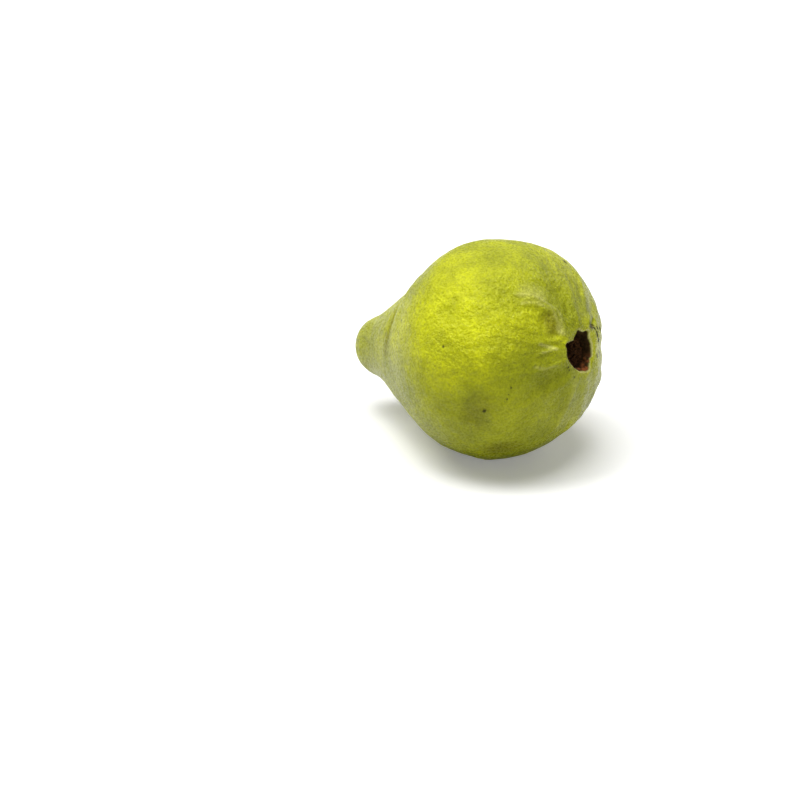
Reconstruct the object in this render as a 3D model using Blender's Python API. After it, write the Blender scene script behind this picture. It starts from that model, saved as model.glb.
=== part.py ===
"""A whole guava of the pear-shaped kind, as picked, lying on its side.

Frame: metres, +Z up. The origin is the middle of the small flat spot that the fruit rests on.
+X is the level heading of the fruit's axis from its stem towards its calyx, the dry flower end,
which is raised by AXIS_TILT. XZ is the plane that holds the axis.

The fruit is one grown solid: skin and flesh, with a lobed calyx cup in one end and a stem dimple
in the other. The dry disc and style left from the flower lie in the cup, and a short snapped
piece of the stem sits in the dimple, each a solid of its own with CLEARANCE around it.

The fruit is first made along +X about its own axis, with station 0 at its widest section, and
then tilted and lowered onto its resting spot. Angles around it run from +Y towards +Z.
"""

import math

import bmesh
import bpy
from mathutils import Matrix, Vector

MM = 0.001

# Fruit: driving dimensions
GIRTH_RADIUS = 43.2 * MM
STEM_REACH = 66.0 * MM
CALYX_REACH = 41.8 * MM
AXIS_TILT = math.radians(13.8)
FLAT_DEPTH = 0.65 * MM
SEGMENTS_AROUND = 72
CLEARANCE = 0.3 * MM

# Calyx cup and what is left of the flower
CUP_DEPTH = 6.2 * MM
CUP_FLOOR_RADIUS = 6.7 * MM
CUP_MOUTH_RADIUS = 7.6 * MM
LIP_CREST_RADIUS = 9.2 * MM
DISC_THICKNESS = 2.2 * MM
DISC_HOLE_RADIUS = 1.1 * MM
STYLE_RADIUS = 0.7 * MM
STYLE_LENGTH = 3.6 * MM

# Stem dimple and stub
DIMPLE_DEPTH = 2.4 * MM
STUB_RADIUS = 1.7 * MM
STUB_LENGTH = 5.6 * MM

# The calyx mouth: angle in degrees and how far its edge stands in or out of a true circle there.
# Low values are the withered sepals that lean in, high ones the notches between them.
MOUTH_EDGE = (
    (-90, -0.5 * MM), (-44, 1.3 * MM), (8, 0.0 * MM), (50, 1.0 * MM), (76, 0.4 * MM),
    (98, 0.7 * MM), (128, -1.9 * MM), (161, 1.2 * MM), (200, -0.7 * MM), (230, -0.1 * MM),
)

# Broad swellings of the body: station, angle in degrees, reach along the axis, reach around in
# degrees, and height. The last is the fuller underside, which the fruit has settled on.
SWELLINGS = (
    (21 * MM, 53, 12 * MM, 40, 1.6 * MM),
    (27 * MM, -60, 8 * MM, 25, 0.8 * MM),
    (28 * MM, -22, 9 * MM, 22, -0.4 * MM),
    (24 * MM, -97, 9 * MM, 32, -1.0 * MM),
    (6 * MM, 70, 10 * MM, 35, -0.6 * MM),
    (-10 * MM, 95, 9 * MM, 40, 0.5 * MM),
    (-32 * MM, 110, 12 * MM, 45, -1.0 * MM),
    (-24 * MM, -90, 11 * MM, 50, 3.0 * MM),
)
RIB_COUNT = 5
RIB_HEIGHT = 0.35 * MM
RIB_STATION = 31 * MM
RIB_REACH = 9 * MM


def outline():
    """Half outline from the cup's floor round the body to the dimple's floor.

    Each entry is a station, a radius and how many rings lie up to the next entry.
    """
    cup_floor = CALYX_REACH - CUP_DEPTH
    dimple_floor = -STEM_REACH + DIMPLE_DEPTH
    return (
        (cup_floor, 0.0, 3),
        (cup_floor, 0.75 * CUP_FLOOR_RADIUS, 2),
        (cup_floor + 0.6 * MM, CUP_FLOOR_RADIUS, 2),
        (CALYX_REACH - 2.4 * MM, CUP_MOUTH_RADIUS - 0.4 * MM, 2),
        (CALYX_REACH - 0.5 * MM, CUP_MOUTH_RADIUS + 0.3 * MM, 2),
        (CALYX_REACH, LIP_CREST_RADIUS, 2),
        (CALYX_REACH - 1.0 * MM, LIP_CREST_RADIUS + 3.4 * MM, 3),
        (37.0 * MM, 0.46 * GIRTH_RADIUS, 4),
        (30.0 * MM, 0.71 * GIRTH_RADIUS, 4),
        (19.0 * MM, 0.90 * GIRTH_RADIUS, 5),
        (0.0, GIRTH_RADIUS, 5),
        (-14.0 * MM, 0.905 * GIRTH_RADIUS, 5),
        (-28.0 * MM, 0.69 * GIRTH_RADIUS, 5),
        (-41.0 * MM, 0.50 * GIRTH_RADIUS, 4),
        (-54.0 * MM, 0.325 * GIRTH_RADIUS, 3),
        (-STEM_REACH + 4.0 * MM, 0.25 * GIRTH_RADIUS, 2),
        (-STEM_REACH + 0.9 * MM, 0.185 * GIRTH_RADIUS, 2),
        (-STEM_REACH, 0.12 * GIRTH_RADIUS, 2),
        (dimple_floor - 0.9 * MM, STUB_RADIUS + 1.3 * MM, 2),
        (dimple_floor, STUB_RADIUS + 0.5 * MM, 1),
        (dimple_floor, 0.0, 1),
    )


def smooth_curve(knots):
    """Points of a centripetal Catmull-Rom curve through knots of (x, y, steps to the next)."""
    places = [Vector((x, y)) for x, y, _ in knots]
    places = [2 * places[0] - places[1], *places, 2 * places[-1] - places[-2]]
    points = []
    for index, (_, _, steps) in enumerate(knots[:-1]):
        p0, p1, p2, p3 = places[index:index + 4]
        t0 = 0.0
        t1 = t0 + math.sqrt((p1 - p0).length)
        t2 = t1 + math.sqrt((p2 - p1).length)
        t3 = t2 + math.sqrt((p3 - p2).length)
        for step in range(steps):
            t = t1 + (t2 - t1) * step / steps
            a1 = p0 * (t1 - t) / (t1 - t0) + p1 * (t - t0) / (t1 - t0)
            a2 = p1 * (t2 - t) / (t2 - t1) + p2 * (t - t1) / (t2 - t1)
            a3 = p2 * (t3 - t) / (t3 - t2) + p3 * (t - t2) / (t3 - t2)
            b1 = a1 * (t2 - t) / (t2 - t0) + a2 * (t - t0) / (t2 - t0)
            b2 = a2 * (t3 - t) / (t3 - t1) + a3 * (t - t1) / (t3 - t1)
            points.append(b1 * (t2 - t) / (t2 - t1) + b2 * (t - t1) / (t2 - t1))
    points.append(places[-2])
    return points


def turned(points, segments):
    """Bmesh of a half outline of (station, radius) points turned about the X axis."""
    mesh = bmesh.new()
    verts = [mesh.verts.new((station, radius, 0.0)) for station, radius in points]
    edges = [mesh.edges.new(pair) for pair in zip(verts, verts[1:])]
    bmesh.ops.spin(
        mesh,
        geom=verts + edges,
        cent=(0.0, 0.0, 0.0),
        axis=(1.0, 0.0, 0.0),
        angle=math.tau,
        steps=segments,
    )
    bmesh.ops.remove_doubles(mesh, verts=mesh.verts, dist=0.001 * MM)
    bmesh.ops.recalc_face_normals(mesh, faces=mesh.faces)
    return mesh


def bell(distance, reach):
    """1 at no distance, falling smoothly to 0 at twice the reach."""
    ratio = min(abs(distance) / (2.0 * reach), 1.0)
    return (1.0 - ratio * ratio) ** 2 if ratio < 1.0 else 0.0


def angle_between(first, second):
    """Smallest turn between two angles in degrees."""
    return abs((first - second + 180.0) % 360.0 - 180.0)


def mouth_offset(angle):
    """How far the calyx mouth stands out of its circle at an angle in degrees."""
    angle = (angle + 90.0) % 360.0 - 90.0
    knots = [*MOUTH_EDGE, (MOUTH_EDGE[0][0] + 360, MOUTH_EDGE[0][1])]
    for (start, low), (end, high) in zip(knots, knots[1:]):
        if start <= angle <= end:
            share = (angle - start) / (end - start)
            ease = 0.5 - 0.5 * math.cos(math.pi * share)
            return low + (high - low) * ease
    return 0.0


def shape_body(mesh):
    """Swell the turned fruit out of round, raise its ribs and lobe the calyx mouth."""
    cup_floor = CALYX_REACH - CUP_DEPTH
    for vert in mesh.verts:
        station, y, z = vert.co
        radius = math.hypot(y, z)
        if radius < 0.01 * MM:
            continue
        angle = math.degrees(math.atan2(z, y))
        in_cup = station > cup_floor - CLEARANCE and radius < LIP_CREST_RADIUS + 0.01 * MM
        change = 0.0
        if not in_cup:
            for at, heading, along, around, height in SWELLINGS:
                near = bell(station - at, along) * bell(angle_between(angle, heading), around)
                change += height * near
            rib = math.cos(math.radians(RIB_COUNT * (angle - MOUTH_EDGE[1][0])))
            change += RIB_HEIGHT * rib * bell(station - RIB_STATION, RIB_REACH)
        from_mouth = abs(radius - CUP_MOUTH_RADIUS)
        if station > cup_floor + 0.4 * MM:
            change += mouth_offset(angle) * bell(from_mouth, 1.6 * MM) * (station - cup_floor) / CUP_DEPTH
        vert.co.y *= 1.0 + change / radius
        vert.co.z *= 1.0 + change / radius


def lying(mesh, shift):
    """Tilt a bmesh made along +X into the fruit's lie, then move it by shift."""
    turn = Matrix.Rotation(-AXIS_TILT, 4, 'Y')
    bmesh.ops.transform(mesh, matrix=Matrix.Translation(shift) @ turn, verts=mesh.verts)


def resting_shift(mesh):
    """Shift that brings the tilted body's underside FLAT_DEPTH below the ground at the origin."""
    turn = Matrix.Rotation(-AXIS_TILT, 3, 'Y')
    places = [turn @ vert.co for vert in mesh.verts]
    ground = min(place.z for place in places) + FLAT_DEPTH
    spot = [place for place in places if place.z < ground]
    middle_x = (min(place.x for place in spot) + max(place.x for place in spot)) / 2.0
    return Vector((-middle_x, 0.0, -ground))


def press_flat(mesh):
    """Flatten what reaches below the ground, which makes the resting spot."""
    for vert in mesh.verts:
        vert.co.z = max(vert.co.z, 0.0)


def material(name, colour, roughness):
    """Principled material of one plain colour."""
    finish = bpy.data.materials.new(name)
    finish.use_nodes = True
    shader = finish.node_tree.nodes['Principled BSDF']
    shader.inputs['Base Color'].default_value = (*colour, 1.0)
    shader.inputs['Roughness'].default_value = roughness
    shader.inputs['Metallic'].default_value = 0.0
    return finish


def add_object(name, mesh, finish):
    """Smooth-shaded object of a bmesh, with its material."""
    data = bpy.data.meshes.new(name)
    mesh.to_mesh(data)
    mesh.free()
    data.materials.append(finish)
    data.shade_smooth()
    data.set_sharp_from_angle(angle=math.radians(40.0))
    thing = bpy.data.objects.new(name, data)
    bpy.context.collection.objects.link(thing)
    return thing


def make_fruit():
    """Skin and flesh in one solid. Returns the shift that lays the fruit down."""
    mesh = turned(smooth_curve(outline()), SEGMENTS_AROUND)
    shape_body(mesh)
    shift = resting_shift(mesh)
    lying(mesh, shift)
    press_flat(mesh)
    add_object('fruit', mesh, material('guava_skin', (0.36, 0.38, 0.03), 0.42))
    return shift


def make_flower_disc(shift, finish):
    """Dry nectar disc: a dished ring on the floor of the calyx cup."""
    low = CALYX_REACH - CUP_DEPTH + CLEARANCE
    high = low + DISC_THICKNESS
    edge = CUP_FLOOR_RADIUS - 2.0 * CLEARANCE
    ring = (
        (low, DISC_HOLE_RADIUS),
        (high - 0.7 * MM, DISC_HOLE_RADIUS),
        (high - 0.8 * MM, 0.5 * edge),
        (high, 0.86 * edge),
        (high - 0.5 * MM, edge),
        (low + 0.9 * MM, edge),
        (low, 0.8 * edge),
    )
    mesh = turned([*ring, ring[0]], 48)
    lying(mesh, shift)
    add_object('dried_flower_disc', mesh, finish)


def make_style(shift, finish):
    """Stump of the withered style, standing in the hole of the disc."""
    low = CALYX_REACH - CUP_DEPTH + CLEARANCE
    high = low + STYLE_LENGTH
    stump = (
        (low, 0.0),
        (low, STYLE_RADIUS),
        (high - 0.9 * MM, 0.75 * STYLE_RADIUS),
        (high - 0.2 * MM, 0.9 * STYLE_RADIUS),
        (high, 0.5 * STYLE_RADIUS),
        (high, 0.0),
    )
    mesh = turned(stump, 16)
    lying(mesh, shift)
    add_object('style_remnant', mesh, finish)


def make_stem_stub(shift):
    """Short woody end of the stem, snapped off above the dimple."""
    foot = -STEM_REACH + DIMPLE_DEPTH - CLEARANCE
    tip = foot - STUB_LENGTH
    stub = (
        (foot, 0.0),
        (foot, 0.8 * STUB_RADIUS),
        (foot - 0.8 * MM, STUB_RADIUS),
        (tip + 1.2 * MM, 0.92 * STUB_RADIUS),
        (tip + 0.2 * MM, 1.05 * STUB_RADIUS),
        (tip, 0.8 * STUB_RADIUS),
        (tip, 0.0),
    )
    mesh = turned(stub, 24)
    lying(mesh, shift)
    add_object('stem_stub', mesh, material('dry_stem', (0.16, 0.10, 0.05), 0.85))


def main():
    """Clear the scene and build the guava."""
    for old in list(bpy.data.objects):
        bpy.data.objects.remove(old, do_unlink=True)
    shift = make_fruit()
    dry = material('dried_flower', (0.055, 0.028, 0.012), 0.9)
    make_flower_disc(shift, dry)
    make_style(shift, dry)
    make_stem_stub(shift)


main()
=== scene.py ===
"""The looks of a whole guava that lies on its side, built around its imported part.

The fruit piece is the part's own solid, merged and subdivided, then worked like soft clay: the
shoulder above the neck, the pleats that run into the calyx, wrinkles, dents and scars. The dry
flower remains in the calyx cup and the stem stub are modelled on their own.

Places on the fruit are given as a station, the distance in millimetres along its axis from its
girth towards the calyx, and an angle in degrees around the axis, from +Y towards the top.
"""

import math
import random

import bpy
import numpy as np
from mathutils import Matrix, Vector, noise
from mathutils.bvhtree import BVHTree


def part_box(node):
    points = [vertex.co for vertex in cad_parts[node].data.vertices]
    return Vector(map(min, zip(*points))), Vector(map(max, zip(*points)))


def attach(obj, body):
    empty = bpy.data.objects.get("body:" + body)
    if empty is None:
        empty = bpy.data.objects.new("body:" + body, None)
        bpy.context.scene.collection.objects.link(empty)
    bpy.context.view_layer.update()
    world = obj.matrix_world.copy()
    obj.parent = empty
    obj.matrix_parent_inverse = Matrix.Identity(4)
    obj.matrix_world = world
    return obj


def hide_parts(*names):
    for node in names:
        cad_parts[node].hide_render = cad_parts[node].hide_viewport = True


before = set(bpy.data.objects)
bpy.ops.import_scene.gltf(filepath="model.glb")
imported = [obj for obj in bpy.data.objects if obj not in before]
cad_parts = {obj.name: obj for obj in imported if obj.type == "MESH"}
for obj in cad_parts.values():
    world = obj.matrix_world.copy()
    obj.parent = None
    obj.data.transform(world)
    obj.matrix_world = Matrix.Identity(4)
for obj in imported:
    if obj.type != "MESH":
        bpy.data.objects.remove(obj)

bl_info = {
    "name": "Whole Guava",
    "version": (1, 0, 0),
    "blender": (4, 5, 0),
    "location": "3D View > Sidebar > Guava",
    "description": "Models the finish of a pear-shaped guava around its packed part",
    "category": "Add Mesh",
}

MM = 0.001
STYLE_STATION = 37.7 * MM        # middle of the style, past the girth
LIP_STATION = 41.8 * MM          # crest of the calyx lip
CUP_DEPTH = 6.2 * MM
MOUTH_RADIUS = 7.6 * MM
LIP_RADIUS = 9.0 * MM            # inner side of the lip's crest
LIP_COLUMNS = 144                # directions in which the lip is measured
LIT_WALL_ANGLE = -72.0               # where the lit part of the cup's wall is painted, in degrees
THREAD_SEED = 7
NOISE_SEED = 11                  # noise_vector differs from run to run unless it is seeded

# The calyx mouth is a round hole with notches (+) between its withered sepals and sepals (-) that
# lean in over it: the angle of each, its half-width in degrees, and its depth in mm.
MOUTH_SHAPES = (
    (145, 6, 1.6), (80, 6, 0.8), (40, 8, 1.6), (-70, 10, 1.2),
    (108, 14, -2.4), (-135, 25, -1.2), (-40, 6, -0.8),
)

# Pleats (+) and hollows (-) of the rind: height and half-width in mm, then the places that each
# runs through. They gather at the calyx as the rind of a ripening guava does.
PLEATS = (
    (0.55, 1.1, ((29, 119), (33, 113), (36, 110), (38.6, 107), (40.2, 114), (41.0, 124))),
    (0.40, 0.8, ((31, 124), (34, 117), (37.5, 114), (39.6, 119))),
    (0.45, 2.4, ((30, 112), (33.5, 108), (36, 106))),
    (-1.0, 3.4, ((33, 96), (37.5, 90), (40.4, 96))),
    (0.5, 1.6, ((31, 70), (36, 73), (40, 77), (41.2, 78))),
    (-0.7, 3.2, ((35.5, 125), (38.8, 128))),
    (0.45, 1.1, ((36.5, 152), (38.8, 150), (40.6, 146))),
    (0.45, 1.0, ((37.0, 166), (39.2, 160), (41.0, 157))),
    (-0.5, 1.2, ((36.5, 160), (39.0, 155), (41.0, 152))),
    (0.7, 2.0, ((34, 177), (37.5, -178), (40.2, -177), (41.4, -173))),
    (-0.9, 2.4, ((34, -164), (38, -162), (40.8, -160))),
    (0.6, 1.5, ((29, -152), (35, -148), (39.5, -143), (41.4, -138))),
    (-0.5, 1.4, ((32, -132), (37, -130), (40.8, -128))),
    (0.6, 1.2, ((26, -112), (33, -109), (38, -112), (41, -118))),
    (0.6, 1.8, ((22, -90), (31, -83), (37, -81), (40.8, -84))),
    (-0.7, 2.2, ((28, -64), (36, -62), (40.5, -64))),
    (0.7, 2.0, ((22, -42), (32, -40), (38, -42), (41, -44))),
    (-0.7, 2.2, ((28, -16), (36, -14), (40.5, -16))),
    (0.6, 2.0, ((26, 8), (33, 6), (39, 4))),
    (-0.6, 2.2, ((28, 30), (36, 30), (40.5, 32))),
    (0.6, 1.6, ((25, 48), (33, 46), (38, 48))),
    (-0.8, 1.7, ((-27, 78), (-29, 105), (-30.5, 132), (-33, 158))),
    (0.7, 3.6, ((-20, 92), (-22, 120), (-24, 145), (-27, 166))),
    (-0.7, 2.4, ((-30, 20), (-33, -10), (-34, -40))),
    (-1.6, 0.7, ((41.7, 42), (41.0, 35), (39.9, 29), (38.6, 24))),
    (0.5, 1.3, ((41.4, 55), (40.6, 44), (39.2, 37))),
    (0.35, 0.9, ((-33, 120), (-37, 140), (-39, 165))),
    (0.3, 0.8, ((-37, 115), (-41, 138), (-44, 160))),
    (-0.8, 5.0, ((12, -158), (16, -166))),
    (0.5, 6.0, ((12, 112), (16, 128))),
    (-0.5, 4.0, ((4, 140), (12, 146))),
)

# Patches of the rind: colour, strength, reach in mm, and the places that each runs through.
PATCHES = (
    ("green", 0.7, 7, ((38, 92), (34, 100))),
    ("bruise_and_crease_shade", 0.75, 2.8, ((37, 124), (38.5, 128))),
    ("green", 0.6, 9, ((34, 165), (36, -170))),
    ("green", 0.5, 12, ((20, -130), (10, -150))),
    ("bruise_and_crease_shade", 0.5, 4, ((13, -130), (17, -127))),
    ("bruise_and_crease_shade", 0.35, 5, ((15, -160), (19, -164))),
    ("ripe", 0.6, 12, ((4, 150), (10, 130))),
    ("ripe", 0.5, 7, ((-14, 160), (-8, 168))),
    ("ripe", 0.5, 8, ((28, 150), (32, 140))),
    # Painted highlights: these lip-coloured lines and spots along the pleat tops by the calyx stand
    # in for the glints on the pleats.
    ("lip", 0.3, 0.6, ((29, 119), (33, 113), (36, 110), (38.6, 107), (40.2, 114))),
    ("lip", 0.28, 0.5, ((31, 124), (34, 117), (37.5, 114), (39.6, 119))),
    ("lip", 0.5, 1.3, ((40.0, 122), (40.5, 125))),
    ("lip", 0.2, 2.6, ((31, 113), (34, 110))),
    ("lip", 0.45, 0.6, ((37.2, 152), (38.4, 155), (40.3, 158))),
    ("lip", 0.4, 0.5, ((37.6, 162), (39.4, 160), (40.6, 158))),
    ("lip", 0.35, 0.5, ((36.4, 178), (38.6, -177), (40.6, -176))),
    ("green", 0.7, 4, ((38, 52), (39, 38))),
    ("green", 0.6, 3, ((39.5, 80), (40.4, 100))),
    # Painted reflection: this pale patch on the lower rim by the calyx stands in for the white room
    # mirrored there.
    ("pale", 0.35, 6.0, ((36, -60), (34, -90))),
    # Painted sheen: the pale colour along these ridges, on the lower side by the calyx and on the
    # neck, stands in for light caught on them.
    ("pale", 0.4, 1.2, ((31, -108), (38, -112), (41, -118))),
    ("pale", 0.4, 1.5, ((-33, 120), (-37, 140), (-39, 165))),
    ("pale", 0.4, 1.2, ((-37, 115), (-41, 138), (-44, 160))),
    # Painted shade: the bruise colour along the neck's crease stands in for the shadow in that fold.
    ("bruise_and_crease_shade", 0.6, 1.8, ((-29, 110), (-31, 140), (-34, 164))),
    ("torn_slit_and_lit_wall", 0.9, 0.9, ((40.1, 31), (38.9, 26))),
    ("scar", 1.0, 0.9, ((41.8, 44), (41.6, 40), (41.0, 35), (39.9, 28))),
    ("dry", 0.9, 0.6, ((39.9, 28), (38.6, 24))),
)

# Blemishes: station, angle and radius in mm.
SPECKS = (
    (20, -162, 0.9), (30, -172, 0.55), (29, -168, 0.35), (28, -165, 0.35), (27, -164, 0.3),
    (26, 55, 1.3), (41.5, -160, 0.45), (41.3, -153, 0.4), (41.5, -128, 0.5),
    (41, 12, 1.6), (38, 8, 1.4), (40.5, 0, 1.3), (38, -20, 1.3), (41, -25, 1.1), (39.5, 15, 1.2),
    (38.5, 24, 1.0), (40.5, 22, 1.0),
    (9, 160, 0.5), (-17, 145, 0.5), (-8, 60, 0.8), (-30, -100, 0.7), (5, -20, 0.9), (-22, 10, 0.6),
)


def linear(code):
    """Linear colour of an sRGB hex code such as '#C8CF45'."""
    channels = [int(code[start:start + 2], 16) / 255.0 for start in (1, 3, 5)]
    return tuple(c / 12.92 if c <= 0.04045 else ((c + 0.055) / 1.055) ** 2.4 for c in channels)


def colour_property(name, description, code):
    """Colour setting of a property group, with its default as an sRGB hex code."""
    return bpy.props.FloatVectorProperty(
        name=name,
        description=description,
        subtype='COLOR',
        size=3,
        min=0.0,
        max=1.0,
        default=linear(code),
    )


def length_property(name, description, default):
    """Length setting of a property group, in metres."""
    return bpy.props.FloatProperty(
        name=name,
        description=description,
        subtype='DISTANCE',
        unit='LENGTH',
        min=0.0,
        precision=5,
        default=default,
    )


class GuavaSkinSettings(bpy.types.PropertyGroup):
    """Colours and relief of the rind."""

    ripe: colour_property("Ripe", "Yellow-green of the ripest rind", '#C5C90E')
    green: colour_property("Green", "Olive green of the rind's less ripe patches", '#8B9206')
    # Painted light: this colour is laid on as sheen along ridges and over the neck, and as the white
    # room's reflection on the lower rim by the calyx.
    pale: colour_property("Pale", "Waxy pale green of worn ridges and the neck", '#C2C45C')
    # Laid along the pleat tops this colour is a painted highlight; at the mouth's edge it is the
    # lip's own dry colour.
    lip: colour_property("Lip", "Dry pale yellow of the mouth's edge and the pleat tops", '#DEDB88')
    # Along the neck's crease this colour is painted shade; elsewhere it is the colour of real
    # bruises.
    bruise_and_crease_shade: colour_property("Bruise", "Brownish olive of bruises and hollows", '#6B6403')
    scar: colour_property("Scar", "Corky black-brown of specks and scars", '#1D1A02')
    # Painted light: inside the cup this colour is the lit part of the dark wall, brighter towards
    # the rim; along the slit by the mouth it is the torn rind's own colour.
    torn_slit_and_lit_wall: colour_property("Torn wall", "Orange-brown of the dried wall inside the mouth", '#B4683C')
    dry: colour_property("Dry cup", "Dark brown of the dried lining of the cup", '#351A0B')
    lump_height: length_property("Lumps", "Height of the soft lumps of the body", 0.9 * MM)
    pore_spacing: length_property("Pores", "Distance between the rind's oil pores", 1.1 * MM)


class GuavaFlowerSettings(bpy.types.PropertyGroup):
    """What is left of the flower in the calyx cup."""

    brown: colour_property("Brown", "Withered brown of the flower remains", '#2A1407')
    tip: colour_property("Tips", "Paler brown of bent and broken ends", '#6E4A24')
    filament_length: length_property("Filament", "Length of a withered stamen", 3.2 * MM)
    filament_radius: length_property("Thickness", "Radius of a withered stamen", 0.26 * MM)
    filament_count: bpy.props.IntProperty(
        name="Stamens",
        description="How many withered stamens lie in the cup",
        min=0,
        default=46,
    )


class GuavaStemSettings(bpy.types.PropertyGroup):
    """The dry stub of the stem."""

    bark: colour_property("Bark", "Grey-brown of the stub's bark", '#6B5236')
    wood: colour_property("Wood", "Straw colour of the snapped end", '#B89A6A')


class GuavaStageSettings(bpy.types.PropertyGroup):
    """Floor, lights and camera."""

    floor: colour_property("Floor", "Matt white studio floor", '#F4F4F4')
    lamp_watts: bpy.props.FloatProperty(
        name="Softbox",
        description="Power of the overhead softbox",
        subtype='POWER',
        min=0.0,
        default=9.8,
    )
    fill_watts: bpy.props.FloatProperty(
        name="Fill",
        description="Power of the weaker softbox in front, on the stem side",
        subtype='POWER',
        min=0.0,
        default=4.8,
    )
    rim_watts: bpy.props.FloatProperty(
        name="Rim",
        description="Power of each faint softbox, behind and on the right",
        subtype='POWER',
        min=0.0,
        default=1.1,
    )
    lens: bpy.props.FloatProperty(
        name="Lens",
        description="Focal length of the camera",
        subtype='DISTANCE_CAMERA',
        min=1.0,
        default=103.8,
    )


# Frame ------------------------------------------------------------------------------------


class Fruit:
    """The fruit's own axes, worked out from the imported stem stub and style."""

    def __init__(self):
        stub = sum(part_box("stem_stub"), Vector()) / 2
        style = sum(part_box("style_remnant"), Vector()) / 2
        self.axis = (style - stub).normalized()
        self.across = Vector((0.0, 1.0, 0.0))
        self.upward = self.axis.cross(self.across).normalized()
        self.girth = style - STYLE_STATION * self.axis

    def ray(self, station, angle):
        """Point on the axis at a station, and the direction of an angle in degrees."""
        turn = math.radians(angle)
        outward = math.cos(turn) * self.across + math.sin(turn) * self.upward
        return self.girth + station * self.axis, outward

    def measure(self, points):
        """Station, radius and angle in degrees of an array of points."""
        offset = points - np.array(self.girth)
        side = offset @ np.array(self.across)
        rise = offset @ np.array(self.upward)
        return offset @ np.array(self.axis), np.hypot(side, rise), np.degrees(np.arctan2(rise, side))


# Mesh helpers -----------------------------------------------------------------------------


def deselect():
    """Leave nothing selected, in object mode."""
    if bpy.context.object and bpy.context.object.mode != 'OBJECT':
        bpy.ops.object.mode_set(mode='OBJECT')
    bpy.ops.object.select_all(action='DESELECT')


def pick(thing):
    """Make one object the only selected one, and the active one."""
    deselect()
    thing.select_set(True)
    bpy.context.view_layer.objects.active = thing


def copy_of_node(node, name):
    """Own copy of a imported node, with its loose triangles merged back into quads."""
    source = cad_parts[node]
    thing = source.copy()
    thing.data = source.data.copy()
    thing.name = name
    thing.data.name = name
    thing.parent = None
    thing.matrix_world = Matrix.Identity(4)
    thing.data.materials.clear()
    bpy.context.collection.objects.link(thing)
    pick(thing)
    bpy.ops.object.mode_set(mode='EDIT')
    bpy.ops.mesh.select_all(action='SELECT')
    bpy.ops.mesh.remove_doubles(threshold=0.002 * MM)
    bpy.ops.mesh.tris_convert_to_quads(
        face_threshold=math.radians(50), shape_threshold=math.radians(60))
    bpy.ops.object.mode_set(mode='OBJECT')
    return thing


def apply_modifier(thing, kind, name, **settings):
    """Add a modifier with its settings and apply it."""
    pick(thing)
    modifier = thing.modifiers.new(name, kind)
    for key, value in settings.items():
        setattr(modifier, key, value)
    bpy.ops.object.modifier_apply(modifier=modifier.name)


def points_of(thing):
    """Vertex places of a mesh as an array."""
    places = np.empty(len(thing.data.vertices) * 3)
    thing.data.vertices.foreach_get('co', places)
    return places.reshape(-1, 3)


def normals_of(thing):
    """Vertex normals of a mesh as an array."""
    normals = np.empty(len(thing.data.vertices) * 3)
    thing.data.vertices.foreach_get('normal', normals)
    return normals.reshape(-1, 3)


def set_points(thing, places):
    """Move a mesh's vertices."""
    thing.data.vertices.foreach_set('co', places.ravel())
    thing.data.update()


def bell(distance, reach):
    """Array of 1 at no distance, falling smoothly to 0 at twice the reach."""
    ratio = np.minimum(np.abs(distance) / (2.0 * reach), 1.0)
    return (1.0 - ratio ** 2) ** 2


def ease(value, low, high):
    """Array that rises smoothly from 0 at low to 1 at high."""
    share = np.clip((value - low) / (high - low), 0.0, 1.0)
    return share * share * (3.0 - 2.0 * share)


def turn_between(first, second):
    """Smallest turn between angles in degrees."""
    return np.abs((first - second + 180.0) % 360.0 - 180.0)


def distance_to_line(points, line):
    """Distance of each point to a line of places, and how far along the line, from 0 to 1."""
    nearest = np.full(len(points), 1e9)
    along = np.zeros(len(points))
    spans = len(line) - 1
    for index, (start, end) in enumerate(zip(line, line[1:])):
        start, step = np.array(start), np.array(end) - np.array(start)
        share = np.clip((points - start) @ step / (step @ step), 0.0, 1.0)
        gap = np.linalg.norm(points - start - share[:, None] * step, axis=1)
        closer = gap < nearest
        nearest = np.where(closer, gap, nearest)
        along = np.where(closer, (index + share) / spans, along)
    return nearest, along


def store(thing, name, values):
    """Keep one number per vertex as an attribute, for a material to read."""
    layer = thing.data.attributes.new(name, 'FLOAT', 'POINT')
    layer.data.foreach_set('value', values.astype(np.float32))


def store_colour(thing, name, colours):
    """Keep one linear colour per vertex as an attribute."""
    layer = thing.data.attributes.new(name, 'FLOAT_COLOR', 'POINT')
    full = np.concatenate([colours, np.ones((len(colours), 1))], axis=1)
    layer.data.foreach_set('color', full.astype(np.float32).ravel())


def hand_over(thing, material, slot, *nodes):
    """Finish a piece: material, smooth shading, its body and the nodes it stands for."""
    thing.data.materials.clear()
    thing.data.materials.append(material)
    pick(thing)
    bpy.ops.object.shade_smooth()
    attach(thing, "root")
    if nodes:
        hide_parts(*nodes)


# Materials --------------------------------------------------------------------------------


def new_material(name):
    """Material with a Principled shader. Returns it, its node tree and the shader."""
    material = bpy.data.materials.new(name)
    material.use_nodes = True
    tree = material.node_tree
    return material, tree, tree.nodes['Principled BSDF']


def add_node(tree, kind, inputs=None, **settings):
    """Shader node with its settings. An input is a value, or an output socket to link from."""
    node = tree.nodes.new('ShaderNode' + kind)
    for key, value in settings.items():
        setattr(node, key, value)
    for key, value in (inputs or {}).items():
        if isinstance(value, bpy.types.NodeSocket):
            tree.links.new(value, node.inputs[key])
        else:
            node.inputs[key].default_value = value
    return node


def opaque(colour):
    """Colour with full alpha."""
    return (*colour[:3], 1.0)


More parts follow.
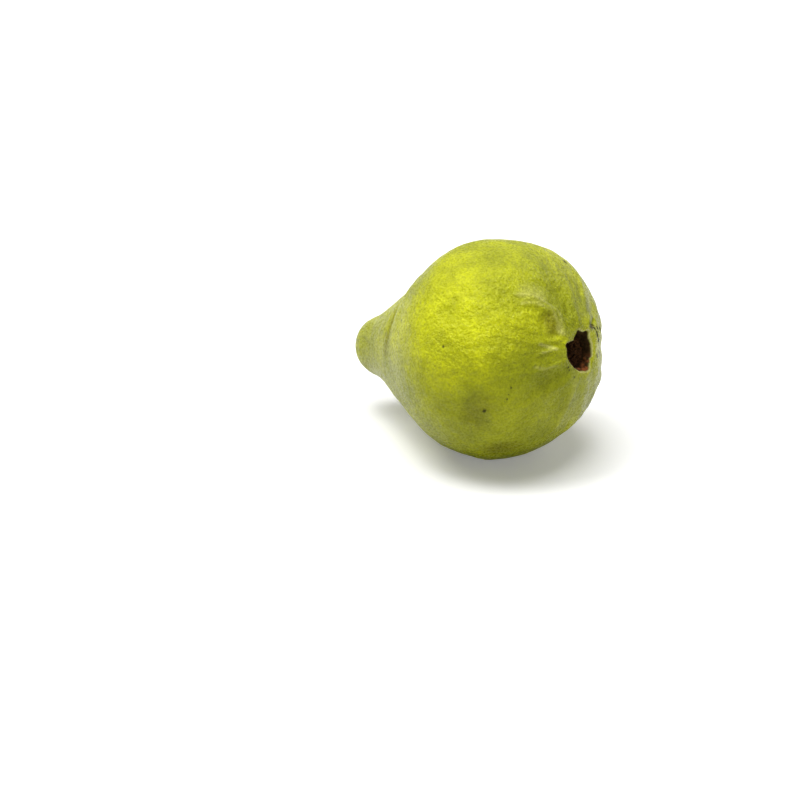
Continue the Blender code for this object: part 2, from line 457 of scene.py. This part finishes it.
def guava_rind(settings, specks):
    """Waxy guava rind. A thin cuticle over pored skin: satin, mottled, glinting on its bumps."""
    material, tree, shader = new_material("waxy_guava_rind")
    place = add_node(tree, 'TexCoord').outputs['Object']
    tint = add_node(tree, 'Attribute', attribute_name="tint").outputs['Color']
    dry = add_node(tree, 'Attribute', attribute_name="dry").outputs['Fac']
    flow = add_node(tree, 'Attribute', attribute_name="flow").outputs['Vector']
    mottle = add_node(
        tree, 'TexNoise',
        {'Vector': place, 'Scale': 1 / (8 * MM), 'Detail': 6.0, 'Roughness': 0.66},
    ).outputs['Fac']
    fleck = add_node(
        tree, 'TexNoise',
        {'Vector': place, 'Scale': 1 / (0.9 * MM), 'Detail': 3.0, 'Roughness': 0.7},
    ).outputs['Fac']
    pores = add_node(
        tree, 'TexVoronoi',
        {'Vector': place, 'Scale': 1 / settings.pore_spacing, 'Randomness': 1.0},
        feature='SMOOTH_F1',
    ).outputs['Distance']
    streaks = add_node(
        tree, 'TexNoise', {'Vector': flow, 'Scale': 15.0, 'Detail': 4.0, 'Roughness': 0.6},
    ).outputs['Fac']
    broad = add_node(
        tree, 'MapRange',
        {'Value': mottle, 'From Min': 0.34, 'From Max': 0.66, 'To Min': 0.84, 'To Max': 1.12},
    ).outputs['Result']
    fine = add_node(
        tree, 'MapRange',
        {'Value': fleck, 'From Min': 0.3, 'From Max': 0.7, 'To Min': 0.75, 'To Max': 1.19},
    ).outputs['Result']
    pored = add_node(
        tree, 'MapRange',
        {'Value': pores, 'From Min': 0.0, 'From Max': 0.3, 'To Min': 0.86, 'To Max': 1.0},
    ).outputs['Result']
    streaked = add_node(
        tree, 'MapRange',
        {'Value': streaks, 'From Min': 0.35, 'From Max': 0.65, 'To Min': 0.93, 'To Max': 1.06},
    ).outputs['Result']
    shade = add_node(tree, 'Math', {0: broad, 1: fine}, operation='MULTIPLY').outputs['Value']
    shade = add_node(tree, 'Math', {0: shade, 1: pored}, operation='MULTIPLY').outputs['Value']
    shade = add_node(tree, 'Math', {0: shade, 1: streaked}, operation='MULTIPLY').outputs['Value']
    colour = add_node(
        tree, 'VectorMath', {0: tint, 'Scale': shade}, operation='SCALE',
    ).outputs['Vector']

    ragged = add_node(
        tree, 'TexNoise', {'Vector': place, 'Scale': 1 / (0.8 * MM), 'Detail': 3.0},
    ).outputs['Color']
    shift = add_node(
        tree, 'VectorMath', {0: ragged, 1: (0.5, 0.5, 0.5)}, operation='SUBTRACT',
    ).outputs['Vector']
    warped = add_node(
        tree, 'VectorMath', {0: shift, 1: (1.6 * MM,) * 3, 2: place}, operation='MULTIPLY_ADD',
    ).outputs['Vector']
    marked = None
    for middle, radius in specks:
        away = add_node(
            tree, 'VectorMath', {0: warped, 1: tuple(middle)}, operation='DISTANCE',
        ).outputs['Value']
        spot = add_node(
            tree, 'MapRange',
            {'Value': away, 'From Min': 0.6 * radius, 'From Max': 1.15 * radius,
             'To Min': 1.0, 'To Max': 0.0},
        ).outputs['Result']
        marked = spot if marked is None else add_node(
            tree, 'Math', {0: marked, 1: spot}, operation='MAXIMUM').outputs['Value']
    weak = add_node(tree, 'Math', {0: marked, 1: 0.95}, operation='MULTIPLY').outputs['Value']
    colour = add_node(
        tree, 'MixRGB',
        {'Fac': weak, 'Color1': colour, 'Color2': opaque(settings.scar)},
    ).outputs['Color']
    tree.links.new(colour, shader.inputs['Base Color'])

    satin = add_node(
        tree, 'MapRange',
        {'Value': fleck, 'From Min': 0.3, 'From Max': 0.7, 'To Min': 0.20, 'To Max': 0.36},
    ).outputs['Result']
    worn = add_node(tree, 'Math', {0: dry, 1: marked}, operation='MAXIMUM').outputs['Value']
    dull = add_node(tree, 'Math', {0: worn, 1: 0.55}, operation='MULTIPLY').outputs['Value']
    rough = add_node(tree, 'Math', {0: satin, 1: dull}, operation='ADD').outputs['Value']
    tree.links.new(rough, shader.inputs['Roughness'])

    pitted = add_node(
        tree, 'MapRange',
        {'Value': pores, 'From Min': 0.0, 'From Max': 0.45, 'To Min': 0.0, 'To Max': 0.8},
    ).outputs['Result']
    wrinkle = add_node(
        tree, 'TexNoise',
        {'Vector': place, 'Scale': 1 / (2.6 * MM), 'Detail': 5.0, 'Roughness': 0.62},
    ).outputs['Fac']
    relief = add_node(
        tree, 'Math', {0: wrinkle, 1: 6.5, 2: pitted}, operation='MULTIPLY_ADD',
    ).outputs['Value']
    relief = add_node(
        tree, 'Math', {0: streaks, 1: 2.4, 2: relief}, operation='MULTIPLY_ADD',
    ).outputs['Value']
    crumbled = add_node(tree, 'Math', {0: dry, 1: fleck}, operation='MULTIPLY').outputs['Value']
    relief = add_node(
        tree, 'Math', {0: crumbled, 1: 9.0, 2: relief}, operation='MULTIPLY_ADD',
    ).outputs['Value']
    bump = add_node(
        tree, 'Bump', {'Strength': 1.0, 'Distance': 0.20 * MM, 'Height': relief},
    ).outputs['Normal']
    tree.links.new(bump, shader.inputs['Normal'])
    shader.inputs['IOR'].default_value = 1.45
    shader.inputs['Specular IOR Level'].default_value = 0.5
    shader.inputs['Specular Tint'].default_value = opaque(linear('#F4F5A0'))
    return material


def withered_flower(settings):
    """Withered flower tissue. Dry, brittle and dull, paler where it is bent or broken."""
    material, tree, shader = new_material("withered_flower_tissue")
    place = add_node(tree, 'TexCoord').outputs['Object']
    grain = add_node(
        tree, 'TexNoise',
        {'Vector': place, 'Scale': 1 / (0.8 * MM), 'Detail': 4.0, 'Roughness': 0.7},
    ).outputs['Fac']
    mix = add_node(
        tree, 'MapRange', {'Value': grain, 'From Min': 0.45, 'From Max': 0.75},
    ).outputs['Result']
    colour = add_node(
        tree, 'MixRGB',
        {'Fac': mix, 'Color1': opaque(settings.brown), 'Color2': opaque(settings.tip)},
    ).outputs['Color']
    tree.links.new(colour, shader.inputs['Base Color'])
    bump = add_node(
        tree, 'Bump', {'Strength': 0.8, 'Distance': 0.15 * MM, 'Height': grain},
    ).outputs['Normal']
    tree.links.new(bump, shader.inputs['Normal'])
    shader.inputs['Roughness'].default_value = 0.95
    shader.inputs['Specular IOR Level'].default_value = 0.12
    return material


def dry_twig(settings):
    """Dry twig. Thin grey-brown bark with lengthwise cracks, straw-coloured where it snapped."""
    material, tree, shader = new_material("dry_twig_bark")
    place = add_node(tree, 'TexCoord').outputs['Object']
    snapped = add_node(tree, 'Attribute', attribute_name="snapped").outputs['Fac']
    grain = add_node(
        tree, 'TexNoise',
        {'Vector': place, 'Scale': 1 / (0.7 * MM), 'Detail': 5.0, 'Roughness': 0.65},
    ).outputs['Fac']
    bark = add_node(
        tree, 'MixRGB',
        {'Fac': grain, 'Color1': opaque([0.35 * c for c in settings.bark]),
         'Color2': opaque(settings.bark)},
    ).outputs['Color']
    colour = add_node(
        tree, 'MixRGB', {'Fac': snapped, 'Color1': bark, 'Color2': opaque(settings.wood)},
    ).outputs['Color']
    tree.links.new(colour, shader.inputs['Base Color'])
    bump = add_node(
        tree, 'Bump', {'Strength': 0.8, 'Distance': 0.12 * MM, 'Height': grain},
    ).outputs['Normal']
    tree.links.new(bump, shader.inputs['Normal'])
    shader.inputs['Roughness'].default_value = 0.8
    return material


# Fruit ------------------------------------------------------------------------------------


def on_rind(fruit, tree, places):
    """Points on the rind at (station in mm, angle) places."""
    found = []
    for station, angle in places:
        middle, outward = fruit.ray(station * MM, angle)
        hit, _, _, _ = tree.ray_cast(middle + 0.1 * outward, -outward)
        found.append(hit if hit is not None else middle)
    return found


def rind_tree(thing):
    """Search tree of a mesh's faces."""
    mesh = thing.data
    return BVHTree.FromPolygons(
        [vert.co for vert in mesh.vertices], [face.vertices[:] for face in mesh.polygons])


def noise_at(points, size, octaves):
    """Array of smooth noise around 0, with features of one size."""
    return np.array([noise.fractal(Vector(point) / size, 1.0, 2.0, octaves) for point in points])


def warp(points, size, reach):
    """Points shifted about by smooth noise, to make lines run unevenly."""
    shifts = np.array([noise.noise_vector(Vector(point) / size)[:] for point in points])
    return points + reach * shifts


def mouth_radius(angle):
    """Array of the calyx mouth's distance from the axis at angles in degrees."""
    edge = np.full(len(angle), MOUTH_RADIUS)
    for heading, width, depth in MOUTH_SHAPES:
        edge += depth * MM * bell(turn_between(angle, heading), width)
    turn = np.radians(angle)
    ring = np.stack([np.cos(turn), np.sin(turn), np.zeros(len(turn))], axis=1)
    return edge + 0.3 * MM * noise_at(ring, 0.15, 2)


def cut_mouth(thing, fruit):
    """Draw the lip of the calyx cup in and out to its notches and leaning sepals."""
    points = points_of(thing)
    station, radius, angle = fruit.measure(points)
    depth = LIP_STATION - station
    columns = LIP_COLUMNS
    column = np.round((angle % 360) / 360 * columns).astype(int) % columns
    lip = (depth < 1.3 * MM) & (radius < 14 * MM) & (station > 0)
    edge = np.full(columns, MOUTH_RADIUS)
    for index in range(columns):
        found = radius[lip & (column == index)]
        edge[index] = found.min() if len(found) else MOUTH_RADIUS
    headings = np.arange(columns) * 360 / columns
    now = np.interp(angle % 360, [*headings, 360.0], [*edge, edge[0]])
    change = mouth_radius(angle) - now
    inside = 1.0 - ease(depth, 1.5 * MM, 4.5 * MM)
    near = np.where(radius > now, bell(radius - now, 2.2 * MM), inside)
    near = np.where((station > 0) & (radius < 16 * MM), near, 0.0)
    near = near * ease(radius, 0.45 * MOUTH_RADIUS, 0.8 * MOUTH_RADIUS)
    outward = points - np.array(fruit.girth) - station[:, None] * np.array(fruit.axis)
    outward = outward / np.maximum(radius, 0.1 * MM)[:, None]
    droop = np.minimum(change, 0.0) * near * bell(radius - now, 1.2 * MM) * 0.35
    points = points + (change * near)[:, None] * outward + droop[:, None] * np.array(fruit.axis)
    set_points(thing, points)


def raise_pleats(thing, fruit):
    """Push the pleats and hollows into the rind, along its normals."""
    tree = rind_tree(thing)
    points, normals = points_of(thing), normals_of(thing)
    wavy = warp(points, 9 * MM, 0.9 * MM)
    rise = np.zeros(len(points))
    for height, width, places in PLEATS:
        gap, along = distance_to_line(wavy, on_rind(fruit, tree, places))
        swell = 0.15 + 0.85 * ease(along, 0.0, 0.3) * (1.0 - 0.5 * ease(along, 0.8, 1.0))
        rise += height * MM * bell(gap, width * MM) * swell
    _, radius, _ = fruit.measure(points)
    outside = ease(radius, MOUTH_RADIUS + 0.3 * MM, MOUTH_RADIUS + 2.5 * MM)
    set_points(thing, points + (rise * outside)[:, None] * normals)


def soften(thing, fruit, settings):
    """Lumps and wrinkles of the rind, drawn lengthwise and gathered at the calyx."""
    points, normals = points_of(thing), normals_of(thing)
    station, radius, angle = fruit.measure(points)
    free = ease(radius, MOUTH_RADIUS, MOUTH_RADIUS + 5 * MM) * ease(points[:, 2], 0.0, 4 * MM)
    lumps = 0.45 * noise_at(points, 24 * MM, 2) + 0.16 * noise_at(points, 8 * MM, 3)
    turn = np.radians(angle)
    unrolled = np.stack([5 * np.cos(turn), 5 * np.sin(turn), station / (30 * MM)], axis=1)
    gathers = noise_at(unrolled, 1.0, 3) * (0.10 + 0.26 * bell(station - 37 * MM, 6 * MM))
    wrinkles = 0.22 * noise_at(warp(points, 6 * MM, 2 * MM) * (0.55, 1.0, 1.0), 3.2 * MM, 3)
    rise = settings.lump_height * (lumps + gathers + wrinkles) * free
    lining = np.where((radius < MOUTH_RADIUS + 1 * MM) & (station > 0), 1.0, 0.0)
    crumbs = lining * ease(LIP_STATION - station, 0.8 * MM, 2.0 * MM)
    rise = rise + 0.55 * MM * noise_at(points, 2.0 * MM, 3) * crumbs
    set_points(thing, points + rise[:, None] * normals)


def blend_colour(colour, other, share):
    """Colours moved towards another by an array of shares."""
    return colour * (1 - share[:, None]) + np.array(other) * share[:, None]


def paint(thing, fruit, settings):
    """Store the rind's tint, how dry it is, and the directions its streaks run in."""
    points = points_of(thing)
    station, radius, angle = fruit.measure(points)
    ripeness = 0.5 + 0.5 * noise_at(points, 22 * MM, 4)
    colour = np.tile(settings.green, (len(points), 1))
    colour = blend_colour(colour, settings.ripe, np.clip(ripeness, 0, 1))
    tree = rind_tree(thing)
    wavy = warp(points, 6 * MM, 1.2 * MM)
    for shade, strength, reach, places in PATCHES:
        gap, _ = distance_to_line(wavy, on_rind(fruit, tree, places))
        colour = blend_colour(colour, getattr(settings, shade), strength * bell(gap, reach * MM))
    # Painted sheen: the rind is made paler towards the stem end, for the light caught in the neck's
    # folds.
    neck = 0.22 * ease(-station, 30 * MM, 44 * MM)
    colour = blend_colour(colour, settings.pale, neck)
    depth = LIP_STATION - station
    edge = mouth_radius(angle)
    crest = (station > 0) & (depth < 2.5 * MM)
    lip = np.where(crest, bell(radius - edge - 0.45 * MM, 0.32 * MM), 0.0)
    colour = blend_colour(colour, settings.lip, 0.9 * lip)
    sunk = (radius < LIP_RADIUS) & (depth > 1.4 * MM)
    within = (station > 0) & ((radius < edge + 0.5 * MM) | sunk)
    withered = np.maximum(ease(depth, 0.5 * MM, 1.3 * MM), ease(edge - radius, 0.0, 0.4 * MM))
    dry = np.where(within, withered, 0.0)
    colour = blend_colour(colour, settings.dry, dry)
    # Painted light: the cup's lower wall, where the light falls, is tinted a brighter orange-brown,
    # most near the rim.
    ragged = 0.5 + noise_at(points, 1.6 * MM, 3)
    fading = 1.0 - ease(depth, 2.4 * MM, 5.0 * MM)
    torn_slit_and_lit_wall = ragged * dry * bell(turn_between(angle, LIT_WALL_ANGLE), 30.0) * fading
    colour = blend_colour(colour, settings.torn_slit_and_lit_wall, np.clip(1.2 * torn_slit_and_lit_wall, 0.0, 1.0))
    turn = np.radians(angle)
    flow = np.stack([np.cos(turn), np.sin(turn), station / (70 * MM)], axis=1)
    store_colour(thing, "tint", colour)
    store(thing, "dry", dry)
    store_colour(thing, "flow", flow)


class GUAVA_OT_fruit(bpy.types.Operator):
    """Make the fruit: rind, flesh and calyx cup in one closed surface"""

    bl_idname = "guava.fruit"
    bl_label = "Fruit"
    bl_options = {'REGISTER', 'UNDO'}

    def execute(self, context):
        settings = context.scene.guava_skin
        noise.seed_set(NOISE_SEED)
        fruit = Fruit()
        thing = copy_of_node("fruit", "guava_fruit")
        apply_modifier(thing, 'SUBSURF', "smooth", levels=2, render_levels=2)
        cut_mouth(thing, fruit)
        raise_pleats(thing, fruit)
        soften(thing, fruit, settings)
        points = points_of(thing)
        points[:, 2] = np.maximum(points[:, 2], 0.0)
        set_points(thing, points)
        paint(thing, fruit, settings)
        tree = rind_tree(thing)
        middles = on_rind(fruit, tree, [(station, angle) for station, angle, _ in SPECKS])
        specks = [(middle, size * MM) for middle, (_, _, size) in zip(middles, SPECKS)]
        hand_over(thing, guava_rind(settings, specks), "guava_skin", "fruit")
        return {'FINISHED'}


class GUAVA_OT_flower(bpy.types.Operator):
    """Make the dry disc, the withered stamens around it and the style in the calyx cup"""

    bl_idname = "guava.flower"
    bl_label = "Dry Flower"
    bl_options = {'REGISTER', 'UNDO'}

    def execute(self, context):
        settings = context.scene.guava_flower
        fruit = Fruit()
        material = withered_flower(settings)
        disc = copy_of_node("dried_flower_disc", "guava_dried_flower_disc")
        apply_modifier(disc, 'SUBSURF', "smooth", levels=2, render_levels=2)
        points, normals = points_of(disc), normals_of(disc)
        rough = 0.9 * MM * noise_at(points, 1.7 * MM, 3)
        set_points(disc, points + np.minimum(rough, 0.4 * MM)[:, None] * normals)
        threads = self.stamens(fruit, settings)
        deselect()
        for thing in (*threads, disc):
            thing.select_set(True)
        bpy.context.view_layer.objects.active = disc
        bpy.ops.object.join()
        hand_over(disc, material, "dried_flower", "dried_flower_disc")
        style = copy_of_node("style_remnant", "guava_style_remnant")
        apply_modifier(style, 'SUBSURF', "smooth", levels=2, render_levels=2)
        points, normals = points_of(style), normals_of(style)
        set_points(style, points + 0.15 * MM * noise_at(points, 0.8 * MM, 2)[:, None] * normals)
        hand_over(style, material, "dried_flower", "style_remnant")
        return {'FINISHED'}

    def stamens(self, fruit, settings):
        """Withered stamens, each drawn out from a small ring and then curled over the disc."""
        chance = random.Random(THREAD_SEED)
        base = LIP_STATION - CUP_DEPTH + 2.0 * MM
        threads = []
        for index in range(settings.filament_count):
            radius = settings.filament_radius * chance.uniform(0.8, 1.6)
            length = settings.filament_length * chance.uniform(0.5, 1.0)
            thread = self.straight_thread(radius, length)
            points = points_of(thread)
            share = points[:, 2] / length
            heading = chance.uniform(-math.pi, math.pi)
            curl = length * chance.uniform(0.2, 0.8) * share ** 2
            angle = 360.0 * index / settings.filament_count + chance.uniform(-5.0, 5.0)
            root = chance.uniform(1.6, 6.2) * MM
            middle, outward = fruit.ray(base, angle)
            around = fruit.axis.cross(outward)
            lean = -0.25 * share * length
            out = root + points[:, 0] + curl * math.cos(heading) * 0.4 + lean
            side = points[:, 1] + curl * math.sin(heading)
            rise = points[:, 2] * (1.0 - 0.35 * share)
            places = np.array(middle) + np.outer(out, outward) + np.outer(side, around)
            set_points(thread, places + np.outer(rise, fruit.axis))
            threads.append(thread)
        return threads

    @staticmethod
    def straight_thread(radius, length, steps=5):
        """Tapering thread along +Z, drawn out from a ring of six points."""
        deselect()
        bpy.ops.mesh.primitive_circle_add(vertices=6, radius=radius, fill_type='NGON')
        bpy.ops.object.mode_set(mode='EDIT')
        bpy.ops.mesh.select_all(action='SELECT')
        for _ in range(steps):
            bpy.ops.mesh.extrude_region_move(
                TRANSFORM_OT_translate={"value": (0.0, 0.0, length / steps)})
            bpy.ops.transform.resize(value=(0.86, 0.86, 0.86))
        bpy.ops.mesh.select_all(action='SELECT')
        bpy.ops.mesh.normals_make_consistent(inside=False)
        bpy.ops.object.mode_set(mode='OBJECT')
        return bpy.context.object


class GUAVA_OT_stem(bpy.types.Operator):
    """Make the short snapped stub of the stem"""

    bl_idname = "guava.stem"
    bl_label = "Stem Stub"
    bl_options = {'REGISTER', 'UNDO'}

    def execute(self, context):
        settings = context.scene.guava_stem
        thing = copy_of_node("stem_stub", "guava_stem_stub")
        apply_modifier(thing, 'SUBSURF', "smooth", levels=3, render_levels=3)
        station, _, angle = Fruit().measure(points_of(thing))
        end = station.min()
        turn = np.radians(angle)
        ribs = np.stack([2 * np.cos(turn), 2 * np.sin(turn), station / (4 * MM)], axis=1)
        points, normals = points_of(thing), normals_of(thing)
        rough = 0.16 * noise_at(ribs, 0.7, 3) + 0.14 * noise_at(points, 0.9 * MM, 2)
        snapped = 1.0 - ease(station - end, 0.15 * MM, 0.45 * MM)
        rough = rough + 0.25 * snapped * noise_at(points, 0.5 * MM, 2)
        set_points(thing, points + rough[:, None] * MM * normals)
        store(thing, "snapped", snapped)
        hand_over(thing, dry_twig(settings), "stem_wood", "stem_stub")
        return {'FINISHED'}


class GUAVA_OT_stage(bpy.types.Operator):
    """Lay the white floor, hang the lights and set up the camera"""

    bl_idname = "guava.stage"
    bl_label = "Stage"
    bl_options = {'REGISTER', 'UNDO'}

    def execute(self, context):
        settings = context.scene.guava_stage
        self.lay_floor(settings)
        self.hang_lights(settings)
        self.place_camera(settings)
        self.light_room()
        context.scene.view_settings.view_transform = 'Standard'
        return {'FINISHED'}

    def lay_floor(self, settings):
        """Wide white floor. It throws less light up at the fruit than its own white would."""
        deselect()
        bpy.ops.mesh.primitive_plane_add(size=8.0, location=(0.0, 0.0, 0.0))
        floor = bpy.context.object
        floor.name = "studio_floor"
        material, tree, shader = new_material("matt_white_paper")
        bounced = add_node(tree, 'LightPath').outputs['Is Diffuse Ray']
        colour = add_node(
            tree, 'MixRGB',
            {'Fac': bounced, 'Color1': opaque(settings.floor), 'Color2': (0.68, 0.68, 0.60, 1.0)},
        ).outputs['Color']
        tree.links.new(colour, shader.inputs['Base Color'])
        # Painted light: for the camera the floor also glows, least near the fruit so that its shadow
        # shows, and fully white further out.
        seen = add_node(tree, 'LightPath').outputs['Is Camera Ray']
        place = add_node(tree, 'TexCoord').outputs['Object']
        away = add_node(tree, 'VectorMath', {0: place}, operation='LENGTH').outputs['Value']
        glow = add_node(
            tree, 'MapRange',
            {'Value': away, 'From Min': 0.06, 'From Max': 0.6, 'To Min': 0.22, 'To Max': 1.0},
        ).outputs['Result']
        glow = add_node(tree, 'Math', {0: seen, 1: glow}, operation='MULTIPLY').outputs['Value']
        tree.links.new(glow, shader.inputs['Emission Strength'])
        shader.inputs['Emission Color'].default_value = (1.0, 1.0, 1.0, 1.0)
        shader.inputs['Roughness'].default_value = 0.9
        floor.data.materials.append(material)

    def hang_lights(self, settings):
        """Large softbox overhead, a weaker one in front and two faint ones around."""
        for name, azimuth, elevation, distance, size, watts in (
            ("softbox_overhead", 0.0, 85.0, 1.0, 0.7, settings.lamp_watts),
            ("softbox_side", 315.0, 62.0, 1.0, 0.5, settings.fill_watts),
            ("softbox_behind", 180.0, 30.0, 1.0, 0.6, settings.rim_watts),
            ("softbox_right", 70.0, 14.0, 1.0, 0.5, settings.rim_watts),
        ):
            place = self.around(azimuth, elevation, distance)
            deselect()
            bpy.ops.object.light_add(type='AREA', location=place)
            lamp = bpy.context.object
            lamp.name = name
            lamp.data.shape = 'SQUARE'
            lamp.data.size = size
            lamp.data.energy = watts
            aim = Vector((0.0, 0.0, 40 * MM)) - place
            lamp.rotation_euler = aim.to_track_quat('-Z', 'Y').to_euler()

    @staticmethod
    def around(azimuth, elevation, distance):
        """Place around the origin. Azimuth 0 is on -Y and 90 on +X, in degrees."""
        turn, rise = math.radians(azimuth), math.radians(elevation)
        level = distance * math.cos(rise)
        return Vector((level * math.sin(turn), -level * math.cos(turn), distance * math.sin(rise)))

    def place_camera(self, settings):
        """Camera above the table edge, looking down on the fruit with its calyx to the right."""
        azimuth, elevation, distance = 38.3, 25.0, 0.9
        back = self.around(azimuth, elevation, 1.0)
        right = self.around(azimuth + 90.0, 0.0, 1.0)
        up = back.cross(right)
        target = Fruit().girth - 36.6 * MM * right - 19.8 * MM * up
        camera = bpy.data.objects.new("camera", bpy.data.cameras.new("camera"))
        bpy.context.collection.objects.link(camera)
        camera.location = target + distance * back
        camera.rotation_euler = (-back).to_track_quat('-Z', 'Y').to_euler()
        camera.data.lens = settings.lens
        camera.data.sensor_width = 36.0
        bpy.context.scene.camera = camera

    def light_room(self):
        """White room: bright where it is seen, dimmer where it is mirrored, faint as a light."""
        world = bpy.data.worlds.new("white_room")
        bpy.context.scene.world = world
        world.use_nodes = True
        tree = world.node_tree
        background = tree.nodes['Background']
        path = add_node(tree, 'LightPath').outputs
        strength = add_node(
            tree, 'MapRange', {'Value': path['Is Diffuse Ray'], 'To Min': 0.5, 'To Max': 0.08},
        ).outputs['Result']
        strength = add_node(
            tree, 'Math', {0: strength, 1: path['Is Camera Ray']}, operation='MAXIMUM',
        ).outputs['Value']
        background.inputs['Color'].default_value = (1.0, 1.0, 1.0, 1.0)
        tree.links.new(strength, background.inputs['Strength'])


class GUAVA_PT_panel(bpy.types.Panel):
    """Sidebar panel that lists the guava's pieces and settings"""

    bl_idname = "GUAVA_PT_panel"
    bl_label = "Guava"
    bl_space_type = 'VIEW_3D'
    bl_region_type = 'UI'
    bl_category = "Guava"

    def draw(self, context):
        for group in ("guava_skin", "guava_flower", "guava_stem", "guava_stage"):
            box = self.layout.box()
            settings = getattr(context.scene, group)
            for key in settings.bl_rna.properties.keys():
                if key not in ('rna_type', 'name'):
                    box.prop(settings, key)
        for operator in OPERATORS:
            self.layout.operator(operator.bl_idname)


GROUPS = {
    "guava_skin": GuavaSkinSettings,
    "guava_flower": GuavaFlowerSettings,
    "guava_stem": GuavaStemSettings,
    "guava_stage": GuavaStageSettings,
}
OPERATORS = (GUAVA_OT_fruit, GUAVA_OT_flower, GUAVA_OT_stem, GUAVA_OT_stage)


def register():
    """Register the settings, the operators and the panel."""
    for name, group in GROUPS.items():
        bpy.utils.register_class(group)
        setattr(bpy.types.Scene, name, bpy.props.PointerProperty(type=group))
    for operator in OPERATORS:
        bpy.utils.register_class(operator)
    bpy.utils.register_class(GUAVA_PT_panel)


def unregister():
    """Remove what register added."""
    bpy.utils.unregister_class(GUAVA_PT_panel)
    for operator in reversed(OPERATORS):
        bpy.utils.unregister_class(operator)
    for name, group in GROUPS.items():
        delattr(bpy.types.Scene, name)
        bpy.utils.unregister_class(group)


def main():
    """Model every piece in order."""
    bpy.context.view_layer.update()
    register()
    bpy.ops.guava.fruit()
    bpy.ops.guava.flower()
    bpy.ops.guava.stem()
    bpy.ops.guava.stage()


if __name__ == "__main__":
    main()
